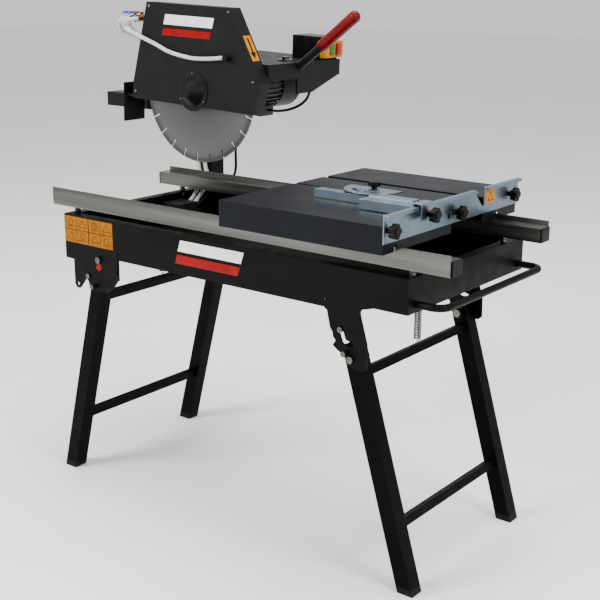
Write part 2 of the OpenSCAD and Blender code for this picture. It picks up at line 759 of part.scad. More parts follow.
// The stop arm: an angle strip that turns under the protractor, with a bolt that rides in its arc.
module guide_arm() {
    p = guide_pivot;
    q = p - [0, guide_slot_r];
    g = guide_z;
    in_frame() color("#a5b1ba") {
        difference() {
            union() {
                block([p[0] - 112, q[1] - 9, g + 14.5], [p[0] + 16, q[1] + 13, g + 17]);
                block([p[0] - 112, q[1] - 11.5, g], [p[0] + 16, q[1] - 9, g + 17]);
                block([p[0] - 14, q[1] + 13, g + 14.5], [p[0] + 14, p[1] + 14, g + 17]);
                translate([p[0], p[1], g + 17]) cylinder(h = 2.7, d = 18);
                translate([p[0], p[1], g + 17]) cylinder(h = 5.5, d = 10);
            }
            translate([p[0], p[1], g + 10]) cylinder(h = 20, d = 5.4);
        }
        translate([q[0], q[1], g + 17]) cylinder(h = 2.7, d = 14);
        translate([q[0], q[1], g + 17]) cylinder(h = 7, d = 8);
        translate([q[0], q[1], g + 22.8]) linear_extrude(7) hexagon(13);
    }
}

// Locks the stop arm at its pivot.
module guide_lock_knob() {
    p = guide_pivot;
    g = guide_z;
    in_frame() color("#17181a") {
        translate([p[0], p[1], g + 17.3]) cylinder(h = 6, d = 5);
        translate([p[0], p[1], g + 22.8]) cylinder(h = 5, d = 12);
        translate([p[0], p[1], g + 27.8]) linear_extrude(9) union() {
            circle(d = 20);
            for (i = [0:3]) rotate(90 * i) translate([9, 0]) square([8, 8], center = true);
        }
    }
}

// ---- cutting head ----

// Hood, swing arm, handle bar and gusset, welded into one frame.
module head_frame() {
    t = 2.5;
    px = pivot_x - blade_x;
    pz = pivot_z - blade_z;
    arm_y = [beam_y[0] + 8, beam_y[1] - 8];
    tilt_px = px * cos(head_slope) - pz * sin(head_slope);
    tilt_pz = px * sin(head_slope) + pz * cos(head_slope);
    on_head() color("#333333") {
        difference() {
            block([hood_left, guard_y + guard_d + gap, hood_bottom], [hood_right, hood_back, hood_top]);
            block([hood_left + t, guard_y + guard_d + t, hood_bottom - 1],
                  [hood_right - t, hood_back - t, hood_top - t]);
            translate([157, 240, hood_top - 10]) cylinder(h = 20, d = 10.2);
            rod_y(0, hood_back - 10, hood_back + 10, 0, motor_d + 8);
        }
        difference() {
            union() {
                rod_y(tilt_px, arm_y[0], arm_y[1], tilt_pz, 36);
                block([tilt_px, arm_y[0], hood_bottom - 30], [hood_left, arm_y[1], hood_bottom + 20]);
                block([tilt_px - 18, arm_y[0], tilt_pz], [tilt_px + 18, arm_y[1], hood_bottom + 20]);
            }
            rod_y(tilt_px, arm_y[0] - 1, arm_y[1] + 1, tilt_pz, pivot_d + 2 * run_gap);
        }
        plate_yz([[230, hood_bottom], [230, 3], [290, 3], [hood_back - t, hood_bottom]],
                 hood_right - 7, hood_right - t);
        translate(handle_base) rotate([0, 90 - handle_angle, 0]) difference() {
            cylinder(h = handle_l + grip_l - 6, d = handle_d);
            translate([-30, -30, -30]) cube([60, 60, 30]);
        }
    }
}

// Back half of the guard: a back plate with a rim folded forward all round except below.
module guard_shell() {
    y0 = guard_y + cover_t;
    y1 = guard_y + guard_d;
    on_head() color("#333333") difference() {
        plate_xz(guard_outline, y0, y1);
        translate([0, y1 - guard_t, 0]) rotate([90, 0, 0]) linear_extrude(guard_d) difference() {
            offset(delta = -guard_t) polygon(guard_outline);
        }
        block([-202, y0 - 1, -40], [190, y1 - guard_t, -20]);
        rod_y(0, y0, y1 + 1, 0, 60);
    }
}

// Front half of the guard, with a round opening under the hub cover and the elbow that the spray hose joins.
module guard_cover() {
    on_head() color("#333333") {
        difference() {
            plate_xz(guard_outline, guard_y, guard_y + cover_t);
            rod_y(0, guard_y - 1, guard_y + 5, 0, 64);
        }
        rod_y(115, guard_y - 18, guard_y, 88.5, 14);
        rod_x(107, 115, guard_y - 10, 88.5, 9);
    }
}

// Bell-shaped cover over the end of the spindle.
module hub_cover() {
    depth = 28;
    on_head() color("#333333") translate([0, guard_y, 0]) rotate([90, 0, 0]) rotate_extrude($fn = 64)
        polygon([[31, 0], [48, 0], [48, 2], [36, 2.5], [34, 6], [17, depth - 3], [14, depth],
            [0, depth], [0, depth - 2], [13, depth - 2.5], [15, depth - 4.5], [31, 5.5]]);
}

// Four screws in the guard, three in the hub cover and the large bolt on the hood.
module head_bolts() {
    on_head() color("#c9c9c6") {
        for (p = [[-148, 192], [110, 192], [189, 38], [-197, -19]]) dome_screw(p[0], guard_y, p[1], 9);
        for (a = [90, 210, 330]) dome_screw(43 * cos(a), guard_y - 2.6, 43 * sin(a), 6);
        translate([157, 240, hood_top]) cylinder(h = 3, d = 38);
        translate([157, 240, hood_top + 3]) linear_extrude(6) hexagon(19);
        translate([157, 240, hood_top - 9]) cylinder(h = 12, d = 10);
    }
}

// A domed screw head facing -Y.
module dome_screw(x, y, z, d) {
    intersection() {
        translate([x, y + d * 0.15, z]) sphere(d = d, $fn = 32);
        block([x - d, y - d, z - d], [x + d, y - 0.01, z + d]);
    }
}

// Finned motor body with feet up to the hood and a terminal box below.
module motor() {
    r = motor_d / 2;
    y1 = motor_y + motor_l;
    on_head() color("#6f6b66") {
        difference() {
            rod_y(0, motor_y, y1, 0, motor_d - 12);
            rod_y(0, motor_y - 1, y1 + 1, 0, motor_d - 28);
        }
        for (i = [0:27]) rotate([0, 360 / 28 * (i + 0.5), 0])
            block([r - 8, motor_y + 16, -1.2], [r, y1 - 8, 1.2]);
        difference() {
            rod_y(0, motor_y - 4, motor_y + 12, 0, motor_d);
            rod_y(0, motor_y - 5, motor_y + 13, 0, shaft_d + 0.6);
        }
        for (y = [motor_y + 30, y1 - 54]) block([-46, y, r - 8], [46, y + 24, hood_top - 2.5]);
        block([18, y1 - 86, -r - 12], [52, y1 - 36, -motor_d / 2 + 12]);
    }
}

module fan_cover() {
    y0 = motor_y + motor_l;
    on_head() color("#151515") difference() {
        union() {
            rod_y(0, y0 - 6, y0 + 66, 0, motor_d + 2);
            rod_y(0, y0 + 66, y0 + 76, 0, motor_d - 14);
        }
        rod_y(0, y0 - 7, y0 + 66, 0, motor_d - 3);
        rod_y(0, y0 + 60, y0 + 74, 0, motor_d - 19);
        for (i = [0:11]) rotate([0, 30 * i, 0]) block([18, y0 + 70, -2.5], [45, y0 + 80, 2.5]);
    }
}

module grip() {
    on_head() color("#b30d10") translate(handle_base) rotate([0, 90 - handle_angle, 0]) {
        difference() {
            union() {
                translate([0, 0, handle_l]) cylinder(h = grip_l - grip_d / 2, d = grip_d);
                translate([0, 0, handle_l + grip_l - grip_d / 2]) sphere(d = grip_d);
            }
            translate([0, 0, handle_l - 1]) cylinder(h = grip_l - 5, d = handle_d + 0.1);
        }
    }
}

module switch_box() {
    t = 2.5;
    on_head() color("#17181a") difference() {
        union() {
            block([switch_x[0], switch_y[0], switch_z[0]], [switch_x[1], switch_y[1], switch_z[1]]);
            block([switch_x[1], switch_y[0] - 2, switch_z[0] + 6],
                  [plate_x, switch_y[1] + 2, switch_z[0] + 46]);
        }
        block([switch_x[0] + t, switch_y[0] + t, switch_z[0] - 1],
              [switch_x[1] - t, switch_y[1] - t, switch_z[1] - t]);
        block([switch_x[1] - t - 1, 340, switch_z[0] + 12], [plate_x + 1, 356, switch_z[0] + 40]);
        block([switch_x[1] - t - 1, 363, switch_z[0] + 12], [plate_x + 1, 379, switch_z[0] + 40]);
    }
}

module green_button() {
    on_head() color("#2f9a3c") block([switch_x[1] + 2, 340 + gap, switch_z[0] + 12 + gap],
        [plate_x + 3, 356 - gap, switch_z[0] + 40 - gap]);
}

module red_button() {
    on_head() color("#c41a1a") block([switch_x[1] + 2, 363 + gap, switch_z[0] + 12 + gap],
        [plate_x + 6, 379 - gap, switch_z[0] + 40 - gap]);
}

// Rubber sheet that stops spray at the left end of the guard, with its clamp strip.
module splash_flap() {
    on_head() color("#1c1c1e") {
        block([-232, 72, -98], [-229, 144, 0]);
        block([-229, 82, -34], [-207.5, 115, -28]);
    }
}

// Two brass valves on a bracket at the guard's top left corner.
module valves() {
    in_frame() color("#b8933f") {
        for (p = [valve_red, valve_blue]) {
            rod_x(p[0] - 13, p[0] + 13, p[1], valve_z, 15);
            translate([p[0], p[1], valve_z]) sphere(d = 19);
            translate([p[0], p[1], valve_z]) cylinder(h = 12, d = 8);
            rod_x(p[0] - 16.5, p[0] - 13, p[1], valve_z, 11);
        }
        rod_x(valve_blue[0] + 13, valve_blue[0] + 21, valve_blue[1], valve_z, 9);
        rod_y(-531, 80.5, valve_blue[1], valve_z, 9);
        block([-536, 96, valve_z - 4], [-510.5, 116, valve_z + 4]);
    }
}

// A flat lever on a valve's stem, pointing left.
module valve_lever(p, z) {
    difference() {
        union() {
            translate([p[0], p[1], z]) cylinder(h = 3, d = 12);
            block([p[0] - 40, p[1] - 4, z], [p[0], p[1] + 4, z + 3]);
        }
        translate([p[0], p[1], z - 1]) cylinder(h = 5, d = 4.6);
    }
}

module red_lever() {
    in_frame() color("#c8102e") valve_lever(valve_red, valve_z + 12.3);
}

module blue_lever() {
    in_frame() color("#2b4aa8") valve_lever(valve_blue, valve_z + 12.3);
}

module spray_hose() {
    in_frame() color("#e4e6e6") sweep(smooth(spray_route, 3), hose_d);
}

module motor_cable() {
    in_frame() color("#101010") sweep(smooth(motor_cable_route, 3), 7, 8);
}

// ---- blade and spindle ----

module blade() {
    r = blade_d / 2;
    on_head() color("#b9b9bb") difference() {
        rod_y(0, blade_y - blade_t / 2, blade_y + blade_t / 2, 0, blade_d, $fn = 96);
        rod_y(0, blade_y - 5, blade_y + 5, 0, shaft_d + 1.4);
        for (i = [0:slot_count - 1]) rotate([0, 360 / slot_count * i + 2, 0]) {
            block([r - 18, blade_y - 5, -1.7], [r + 2, blade_y + 5, 1.7]);
            rod_y(r - 18, blade_y - 5, blade_y + 5, 0, 6);
        }
    }
}

// Motor shaft with the inner flange, the rotor and the cooling fan.
module spindle() {
    y1 = motor_y + motor_l;
    on_head() color("#8b8b88") {
        rod_y(0, 64, y1 + 40, 0, shaft_d);
        rod_y(0, blade_y + blade_t / 2, blade_y + blade_t / 2 + 6, 0, 78);
        rod_y(0, motor_y + 24, y1 - 12, 0, motor_d - 34);
        for (i = [0:7]) rotate([0, 45 * i, 0]) block([10, y1 + 14, -1.5], [motor_d / 2 - 10, y1 + 44, 1.5]);
    }
}

module blade_nut() {
    on_head() color("#8b8b88") difference() {
        union() {
            rod_y(0, blade_y - blade_t / 2 - 7, blade_y - blade_t / 2, 0, 78);
            hex_y(0, 76, blade_y - blade_t / 2 - 7, 0, 40);
        }
        rod_y(0, 60, blade_y, 0, shaft_d + 0.02);
    }
}

// ---- output ----

water_tray();
front_left_bracket();
rear_left_bracket();
front_right_bracket();
rear_right_bracket();
push_handle();
front_rail();
rear_rail();
rail_end_caps();
rail_bolts();
column();
support_beam();
pivot_bolts();
water_pump();
inner_supply_hose();
outer_supply_hose();
pump_cable();
left_spring();
right_spring();
left_leg_frame();
right_leg_frame();
left_lock_pin();
right_lock_pin();
front_table();
middle_table();
rear_table();
cart_chassis();
near_fence();
far_fence();
front_left_roller();
front_right_roller();
rear_left_roller();
rear_right_roller();
near_knob();
joint_knob();
far_knob();
guide_knob();
guide_channel();
guide_arm();
guide_lock_knob();
head_frame();
guard_shell();
guard_cover();
hub_cover();
head_bolts();
motor();
fan_cover();
grip();
switch_box();
green_button();
red_button();
splash_flap();
valves();
red_lever();
blue_lever();
spray_hose();
motor_cable();
blade();
spindle();
blade_nut();
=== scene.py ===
# Wet tile saw: finishes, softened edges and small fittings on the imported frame.
import bpy
import json
import math
from mathutils import Matrix, Vector


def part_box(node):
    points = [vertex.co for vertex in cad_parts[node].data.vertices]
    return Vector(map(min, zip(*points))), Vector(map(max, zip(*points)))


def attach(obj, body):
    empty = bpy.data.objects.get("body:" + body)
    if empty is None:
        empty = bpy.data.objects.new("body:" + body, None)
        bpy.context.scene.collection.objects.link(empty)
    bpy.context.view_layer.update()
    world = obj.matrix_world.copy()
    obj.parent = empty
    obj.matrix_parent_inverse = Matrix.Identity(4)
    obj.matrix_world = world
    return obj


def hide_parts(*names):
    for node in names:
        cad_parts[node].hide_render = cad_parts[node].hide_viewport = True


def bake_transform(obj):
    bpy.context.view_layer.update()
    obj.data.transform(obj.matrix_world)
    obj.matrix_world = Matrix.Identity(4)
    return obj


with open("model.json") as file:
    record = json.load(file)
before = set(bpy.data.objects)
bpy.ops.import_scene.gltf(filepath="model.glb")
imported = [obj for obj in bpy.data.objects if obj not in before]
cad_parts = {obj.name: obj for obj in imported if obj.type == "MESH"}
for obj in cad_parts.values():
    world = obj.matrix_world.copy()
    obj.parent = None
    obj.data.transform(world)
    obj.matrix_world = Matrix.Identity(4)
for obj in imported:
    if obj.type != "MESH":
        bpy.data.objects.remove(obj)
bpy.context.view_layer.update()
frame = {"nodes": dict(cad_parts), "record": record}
record = frame["record"]
nodeBody = {node: body for body, nodes in record["behaviour"]["bodies"].items() for node in nodes}
print("frame loaded:", len(nodeBody), "nodes")

# Millimetres from the tray's middle on the floor, and along the sloping head from the blade's middle.
trayLow, trayHigh = [Vector(corner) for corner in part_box("water_tray")]
bladeLow, bladeHigh = [Vector(corner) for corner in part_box("blade")]
trayMiddle = Vector(((trayLow.x + trayHigh.x) / 2, (trayLow.y + trayHigh.y) / 2, 0))
bladeMiddle = (bladeLow + bladeHigh) / 2
onTray = Matrix.Translation(trayMiddle)
headSlope = math.radians(2)
onHead = Matrix.Translation((bladeMiddle.x, trayMiddle.y, bladeMiddle.z)) @ Matrix.Rotation(headSlope, 4, "Y")


def spot(x, y, z, place=onTray):
    return place @ (Vector((x, y, z)) / 1000)


# camera, in millimetres and degrees
view = {"from": (1554, -1949, 1195), "turn": 37.72, "down": 16.06, "roll": 0.41, "lens": 67.8}
camera = bpy.data.objects.new("workshopCamera", bpy.data.cameras.new("workshopCamera"))
bpy.context.collection.objects.link(camera)
camera.data.lens = view["lens"]
camera.data.sensor_width = 36
camera.matrix_world = (Matrix.Translation(spot(*view["from"]))
                       @ Matrix.Rotation(math.radians(view["turn"]), 4, "Z")
                       @ Matrix.Rotation(math.radians(90 - view["down"]), 4, "X")
                       @ Matrix.Rotation(math.radians(view["roll"]), 4, "Z"))
bpy.context.scene.camera = camera
print("camera set")


# An operator acts on all that is selected, so one piece is left selected first.
def selectOnly(piece):
    bpy.ops.object.select_all(action="DESELECT")
    piece.select_set(True)
    bpy.context.view_layer.objects.active = piece


def settle(piece, place):
    selectOnly(piece)
    piece.matrix_world = place @ piece.matrix_world
    bpy.ops.object.transform_apply(location=True, rotation=True, scale=True)


def roundEdges(piece, width, steps=2, angle=32):
    selectOnly(piece)
    bevel = piece.modifiers.new("roundedEdges", "BEVEL")
    bevel.width = width / 1000
    bevel.segments = steps
    bevel.limit_method = "ANGLE"
    bevel.angle_limit = math.radians(angle)
    bpy.ops.object.modifier_apply(modifier=bevel.name)
    bpy.ops.object.shade_smooth_by_angle(angle=math.radians(35))
    # broad faces stay flat beside a rounded edge
    flat = piece.modifiers.new("flatFacesFlat", "WEIGHTED_NORMAL")
    flat.keep_sharp = True
    flat.weight = 80
    bpy.ops.object.modifier_apply(modifier=flat.name)


def paint(piece, material):
    piece.data.materials.clear()
    piece.data.materials.append(material)


def join(name, pieces):
    bpy.ops.object.select_all(action="DESELECT")
    for piece in pieces:
        piece.select_set(True)
    bpy.context.view_layer.objects.active = pieces[0]
    if len(pieces) > 1:
        bpy.ops.object.join()
    pieces[0].name = name
    return pieces[0]


def fit(piece, body):
    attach(piece, body)
    return piece


# A block with rounded edges between two corners.
def slab(low, high, edge, place=onTray):
    low, high = Vector(low) / 1000, Vector(high) / 1000
    bpy.ops.object.select_all(action="DESELECT")
    bpy.ops.mesh.primitive_cube_add(size=1, location=(low + high) / 2)
    piece = bpy.context.object
    piece.scale = high - low
    settle(piece, place)
    roundEdges(piece, edge)
    return piece


# A flat outline drawn out by the given thickness.
def cutOut(outline, thickness, edge, place=onTray):
    mesh = bpy.data.meshes.new("outline")
    mesh.from_pydata([Vector(p) / 1000 for p in outline], [], [list(range(len(outline)))])
    piece = bpy.data.objects.new("outline", mesh)
    bpy.context.collection.objects.link(piece)
    selectOnly(piece)
    bpy.ops.object.mode_set(mode="EDIT")
    bpy.ops.mesh.select_all(action="SELECT")
    bpy.ops.mesh.extrude_region_move(TRANSFORM_OT_translate={"value": Vector(thickness) / 1000})
    bpy.ops.mesh.select_all(action="SELECT")
    bpy.ops.mesh.normals_make_consistent(inside=False)
    bpy.ops.object.mode_set(mode="OBJECT")
    settle(piece, place)
    if edge:
        roundEdges(piece, edge)
    return piece


# A smooth curve through chosen points.
def smoothRoute(points, steps=8):
    points = [Vector(p) for p in points]
    route = []
    for i in range(len(points) - 1):
        before, start = points[max(i - 1, 0)], points[i]
        end, after = points[i + 1], points[min(i + 2, len(points) - 1)]
        for step in range(steps):
            t = step / steps
            bend = (2 * before - 5 * start + 4 * end - after) * t * t
            twist = (3 * start - before - 3 * end + after) * t ** 3
            route.append(0.5 * (2 * start + (end - before) * t + bend + twist))
    return route + [points[-1]]


def tube(name, route, radius, place=onTray, sides=3):
    curve = bpy.data.curves.new(name, "CURVE")
    curve.dimensions = "3D"
    curve.bevel_depth = radius / 1000
    curve.bevel_resolution = sides
    curve.use_fill_caps = True
    spline = curve.splines.new("POLY")
    spline.points.add(len(route) - 1)
    for point, position in zip(spline.points, route):
        point.co = (*(Vector(position) / 1000), 1)
    piece = bpy.data.objects.new(name, curve)
    bpy.context.collection.objects.link(piece)
    selectOnly(piece)
    bpy.ops.object.convert(target="MESH")
    piece = bpy.context.object
    settle(piece, place)
    bpy.ops.object.mode_set(mode="EDIT")
    bpy.ops.mesh.select_all(action="SELECT")
    bpy.ops.mesh.remove_doubles(threshold=0.00001)
    bpy.ops.mesh.normals_make_consistent(inside=False)
    bpy.ops.object.mode_set(mode="OBJECT")
    bpy.ops.object.shade_smooth_by_angle(angle=math.radians(50))
    return piece


# A copy of a CAD node with its edges eased, as folded and moulded parts have.
def refine(node, material, edge, steps=2):
    source = frame["nodes"][node]
    piece = bpy.data.objects.new("fine_" + node, source.data.copy())
    bpy.context.collection.objects.link(piece)
    selectOnly(piece)
    bpy.ops.object.mode_set(mode="EDIT")
    bpy.ops.mesh.select_all(action="SELECT")
    bpy.ops.mesh.remove_doubles(threshold=0.00002)
    bpy.ops.mesh.dissolve_limited(angle_limit=math.radians(0.6))
    bpy.ops.object.mode_set(mode="OBJECT")
    roundEdges(piece, edge, steps)
    paint(piece, material)
    fit(piece, nodeBody[node])
    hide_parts(node)
    return piece


# A hex colour as the linear values that a shader takes.
def linearColour(text):
    channels = [int(text[i:i + 2], 16) / 255 for i in (1, 3, 5)]
    return [c / 12.92 if c <= 0.04045 else ((c + 0.055) / 1.055) ** 2.4 for c in channels] + [1]


def addNode(tree, kind, settings={}, links={}):
    node = tree.nodes.new(kind)
    for name, value in settings.items():
        if name in node.inputs:
            node.inputs[name].default_value = value
        else:
            setattr(node, name, value)
    for name, source in links.items():
        tree.links.new(source, node.inputs[name])
    return node


def startFinish(name, settings):
    material = bpy.data.materials.new(name)
    material.use_nodes = True
    tree = material.node_tree
    shader = tree.nodes["Principled BSDF"]
    for key, value in settings.items():
        shader.inputs[key].default_value = value
    place = addNode(tree, "ShaderNodeTexCoord").outputs["Object"]
    return material, tree, shader, place


# Colour between two shades, a roughness band and a bump, all from noise of real sizes in millimetres.
def grained(name, shades, patch, rough, roughPatch, grain, bump, settings={}, stretch=(1, 1, 1)):
    material, tree, shader, place = startFinish(name, settings)
    if stretch != (1, 1, 1):
        place = addNode(tree, "ShaderNodeMapping", {"Scale": stretch}, {"Vector": place}).outputs["Vector"]
    wide = addNode(tree, "ShaderNodeTexNoise", {"Scale": 1000 / patch, "Detail": 4}, {"Vector": place})
    ramp = addNode(tree, "ShaderNodeValToRGB", {}, {"Fac": wide.outputs["Fac"]})
    ramp.color_ramp.elements[0].position = 0.35
    ramp.color_ramp.elements[0].color = linearColour(shades[0])
    ramp.color_ramp.elements[1].position = 0.68
    ramp.color_ramp.elements[1].color = linearColour(shades[1])
    tree.links.new(ramp.outputs["Color"], shader.inputs["Base Color"])
    worn = addNode(tree, "ShaderNodeTexNoise", {"Scale": 1000 / roughPatch, "Detail": 3}, {"Vector": place})
    band = addNode(tree, "ShaderNodeMapRange", {"From Min": 0.3, "From Max": 0.7, "To Min": rough[0],
                                                "To Max": rough[1]}, {"Value": worn.outputs["Fac"]})
    tree.links.new(band.outputs["Result"], shader.inputs["Roughness"])
    fine = addNode(tree, "ShaderNodeTexNoise", {"Scale": 1000 / grain, "Detail": 2}, {"Vector": place})
    raised = addNode(tree, "ShaderNodeBump", {"Strength": bump, "Distance": 0.0004},
                     {"Height": fine.outputs["Fac"]})
    tree.links.new(raised.outputs["Normal"], shader.inputs["Normal"])
    return material


# Powder coat: baked thermoset, slightly pebbled, half matt.
trayPaint = grained("charcoalPowderCoat", ("#040404", "#070707"), 90, (0.38, 0.52), 30, 1.6, 0.25,
                    {"Specular IOR Level": 0.07})
guardPaint = grained("headPowderCoat", ("#0b0b0b", "#111110"), 80, (0.36, 0.5), 26, 1.6, 0.22,
                     {"Specular IOR Level": 0.14})
legPaint = grained("blackPowderCoat", ("#010101", "#020202"), 70, (0.4, 0.55), 24, 1.6, 0.22,
                   {"Specular IOR Level": 0.04})
tablePaint = grained("tablePowderCoat", ("#03050b", "#060911"), 160, (0.42, 0.48), 60, 1.3, 0.18,
                     {"Specular IOR Level": 0.14})
# Stainless rails: drawn, so the fine scratches run along X.
railSteel = grained("brushedStainless", ("#565653", "#6f6f6b"), 500, (0.24, 0.38), 300, 14, 0.08,
                    {"Metallic": 1.0}, (1, 28, 28))
# Zinc-plated sheet: bluish, with soft cloudy patches.
zincSheet = grained("zincPlatedSheet", ("#6c7b87", "#7c8b97"), 60, (0.28, 0.4), 40, 3, 0.03,
                    {"Metallic": 1.0})
boltZinc = grained("platedBolt", ("#4e4e4a", "#67675f"), 8, (0.22, 0.36), 5, 1.5, 0.05, {"Metallic": 1.0})
turnedSteel = grained("turnedSteel", ("#4c4c4b", "#646463"), 20, (0.25, 0.4), 6, 1.2, 0.06, {"Metallic": 1.0})
springWire = grained("drawnSpringWire", ("#4a4439", "#61594c"), 12, (0.25, 0.4), 6, 2, 0.05,
                     {"Metallic": 1.0})
castMotor = grained("paintedCasting", ("#1c1916", "#28241f"), 22, (0.42, 0.6), 12, 1.8, 0.5,
                    {"Metallic": 0.35})
# ABS and nylon, spark-textured from the mould.
blackPlastic = grained("mouldedBlackNylon", ("#010101", "#030303"), 30, (0.36, 0.5), 12, 1.1, 0.3,
                       {"Specular IOR Level": 0.12})
switchPlastic = grained("switchAbs", ("#020203", "#060608"), 30, (0.28, 0.4), 12, 1.1, 0.2,
                        {"Specular IOR Level": 0.25})
pumpPlastic = grained("pumpHousingAbs", ("#0c0d0f", "#141619"), 30, (0.4, 0.55), 12, 1.4, 0.25,
                      {"Specular IOR Level": 0.2})
greenPlastic = grained("greenButtonPlastic", ("#0b5a18", "#0f7221"), 12, (0.25, 0.35), 8, 1, 0.1)
redPlastic = grained("redButtonPlastic", ("#840407", "#9c060b"), 12, (0.25, 0.35), 8, 1, 0.1)
bluePlastic = grained("blueLeverVinyl", ("#12286a", "#1a368a"), 12, (0.3, 0.4), 8, 1, 0.1)
gripRubber = grained("redGripVinyl", ("#560002", "#6c0003"), 24, (0.3, 0.46), 10, 1.4, 0.25,
                     {"Specular IOR Level": 0.15, "Coat Weight": 0.05, "Coat Roughness": 0.35})
flapRubber = grained("flapRubberSheet", ("#030406", "#07080a"), 30, (0.5, 0.68), 14, 1.2, 0.35,
                     {"Specular IOR Level": 0.15})
footRubber = grained("footRubber", ("#040404", "#080808"), 20, (0.55, 0.75), 10, 1.4, 0.4,
                     {"Specular IOR Level": 0.15})
cableSheath = grained("rubberCableSheath", ("#030303", "#070707"), 30, (0.45, 0.6), 12, 1.2, 0.25,
                      {"Specular IOR Level": 0.2})
valveBrass = grained("machinedBrass", ("#7d5f22", "#9a7a35"), 10, (0.2, 0.34), 6, 1, 0.05, {"Metallic": 1.0})
# Soft PVC hose: milky clear, wet looking.
clearHose = grained("clearPvcHose", ("#c9cfd1", "#e4e8e9"), 20, (0.1, 0.2), 12, 4, 0.05,
                    {"Transmission Weight": 0.35, "IOR": 1.52})
# Printed vinyl decals.
yellowVinyl = grained("yellowVinyl", ("#a86800", "#bb7800"), 18, (0.3, 0.42), 10, 2, 0.05,
                      {"Specular IOR Level": 0.12})
amberVinyl = grained("amberVinyl", ("#824e00", "#965c00"), 14, (0.34, 0.48), 10, 2, 0.08,
                     {"Specular IOR Level": 0.08})
whiteVinyl = grained("whiteVinyl", ("#dcdcda", "#eeeeec"), 24, (0.3, 0.42), 10, 2, 0.05,
                     {"Specular IOR Level": 0.3})
redVinyl = grained("redVinyl", ("#780003", "#8e0005"), 24, (0.3, 0.42), 10, 2, 0.05,
                   {"Specular IOR Level": 0.12})
inkVinyl = grained("blackInk", ("#020202", "#040404"), 14, (0.36, 0.5), 8, 2, 0.05,
                   {"Specular IOR Level": 0.08})


# Ground steel disc: fine circular scratches, painted shade darker at the hub and a painted highlight lighter
# towards the rim, and a slightly darker diamond rim.
def bladeFinish():
    material, tree, shader, place = startFinish("groundBladeSteel", {"Metallic": 1.0})
    hub = (-bladeMiddle.x, 0, -bladeMiddle.z)
    centred = addNode(tree, "ShaderNodeMapping", {"Location": hub, "Scale": (1, 0, 1)},
                      {"Vector": place}).outputs["Vector"]
    length = addNode(tree, "ShaderNodeVectorMath", {"operation": "LENGTH"}, {"Vector": centred})
    reach = length.outputs["Value"]
    rings = addNode(tree, "ShaderNodeTexNoise", {"noise_dimensions": "1D", "Scale": 900, "Detail": 3},
                    {"W": reach})
    band = addNode(tree, "ShaderNodeMapRange", {"From Min": 0.3, "From Max": 0.7, "To Min": 0.24,
                                                "To Max": 0.4}, {"Value": rings.outputs["Fac"]})
    tree.links.new(band.outputs["Result"], shader.inputs["Roughness"])
    # colour by distance from the hub: painted shade at the hub, a painted highlight growing lighter outwards,
    # then the real darker diamond rim
    paintedSheenAndRim = addNode(tree, "ShaderNodeValToRGB", {}, {"Fac": addNode(
        tree, "ShaderNodeMapRange", {"From Min": 0, "From Max": 0.175}, {"Value": reach}).outputs["Result"]})
    paintedSheenAndRim.color_ramp.elements[0].color = linearColour("#4c4c4e")
    paintedSheenAndRim.color_ramp.elements[1].color = linearColour("#5a5a58")
    for position, shade in ((0.4, "#5a5a5c"), (0.86, "#6a6a6c"), (0.94, "#616163"), (0.95, "#4f4f4c")):
        paintedSheenAndRim.color_ramp.elements.new(position).color = linearColour(shade)
    tree.links.new(paintedSheenAndRim.outputs["Color"], shader.inputs["Base Color"])
    raised = addNode(tree, "ShaderNodeBump", {"Strength": 0.1, "Distance": 0.0003},
                     {"Height": rings.outputs["Fac"]})
    tree.links.new(raised.outputs["Normal"], shader.inputs["Normal"])
    return material


bladeSteel = bladeFinish()
print("finishes made")

# each CAD node's finish, and the width of its eased edges in millimetres
eased = {
    "water_tray": (trayPaint, 1.2), "push_handle": (trayPaint, 0.4),
    "front_left_bracket": (trayPaint, 0.6), "rear_left_bracket": (trayPaint, 0.6),
    "front_right_bracket": (trayPaint, 0.6), "rear_right_bracket": (trayPaint, 0.6),
    "front_rail": (railSteel, 0.7), "rear_rail": (railSteel, 0.7), "rail_end_caps": (blackPlastic, 1.2),
    "rail_bolts": (boltZinc, 0.5), "column": (trayPaint, 1.5), "support_beam": (guardPaint, 1.5),
    "pivot_bolts": (boltZinc, 0.5), "water_pump": (pumpPlastic, 2.5), "left_leg_frame": (legPaint, 1.6),
    "right_leg_frame": (legPaint, 1.6), "left_lock_pin": (boltZinc, 0.5), "right_lock_pin": (boltZinc, 0.5),
    "front_table": (tablePaint, 0.9), "middle_table": (tablePaint, 0.9), "rear_table": (tablePaint, 0.9),
    "cart_chassis": (legPaint, 0.6), "near_fence": (zincSheet, 0.5), "far_fence": (zincSheet, 0.5),
    "front_left_roller": (turnedSteel, 0.8), "front_right_roller": (turnedSteel, 0.8),
    "rear_left_roller": (turnedSteel, 0.8), "rear_right_roller": (turnedSteel, 0.8),
    "near_knob": (blackPlastic, 1.6), "joint_knob": (blackPlastic, 1.6), "far_knob": (blackPlastic, 1.6),
    "guide_knob": (blackPlastic, 1.6), "guide_channel": (zincSheet, 0.4), "guide_arm": (zincSheet, 0.4),
    "guide_lock_knob": (blackPlastic, 1.0), "head_frame": (guardPaint, 1.0), "guard_shell": (guardPaint, 0.7),
    "guard_cover": (guardPaint, 0.7), "hub_cover": (guardPaint, 0.4), "head_bolts": (boltZinc, 0.3),
    "motor": (castMotor, 0.5), "fan_cover": (blackPlastic, 0.8), "switch_box": (switchPlastic, 1.6),
    "green_button": (greenPlastic, 1.2), "red_button": (redPlastic, 1.2), "splash_flap": (flapRubber, 0.8),
    "valves": (valveBrass, 0.5), "red_lever": (redPlastic, 0.8), "blue_lever": (bluePlastic, 0.8),
    "blade": (bladeSteel, 0.25), "spindle": (turnedSteel, 0.5), "blade_nut": (turnedSteel, 0.6),
}
fine = {node: refine(node, *finish) for node, finish in eased.items()}
print("edges eased on", len(fine), "nodes")

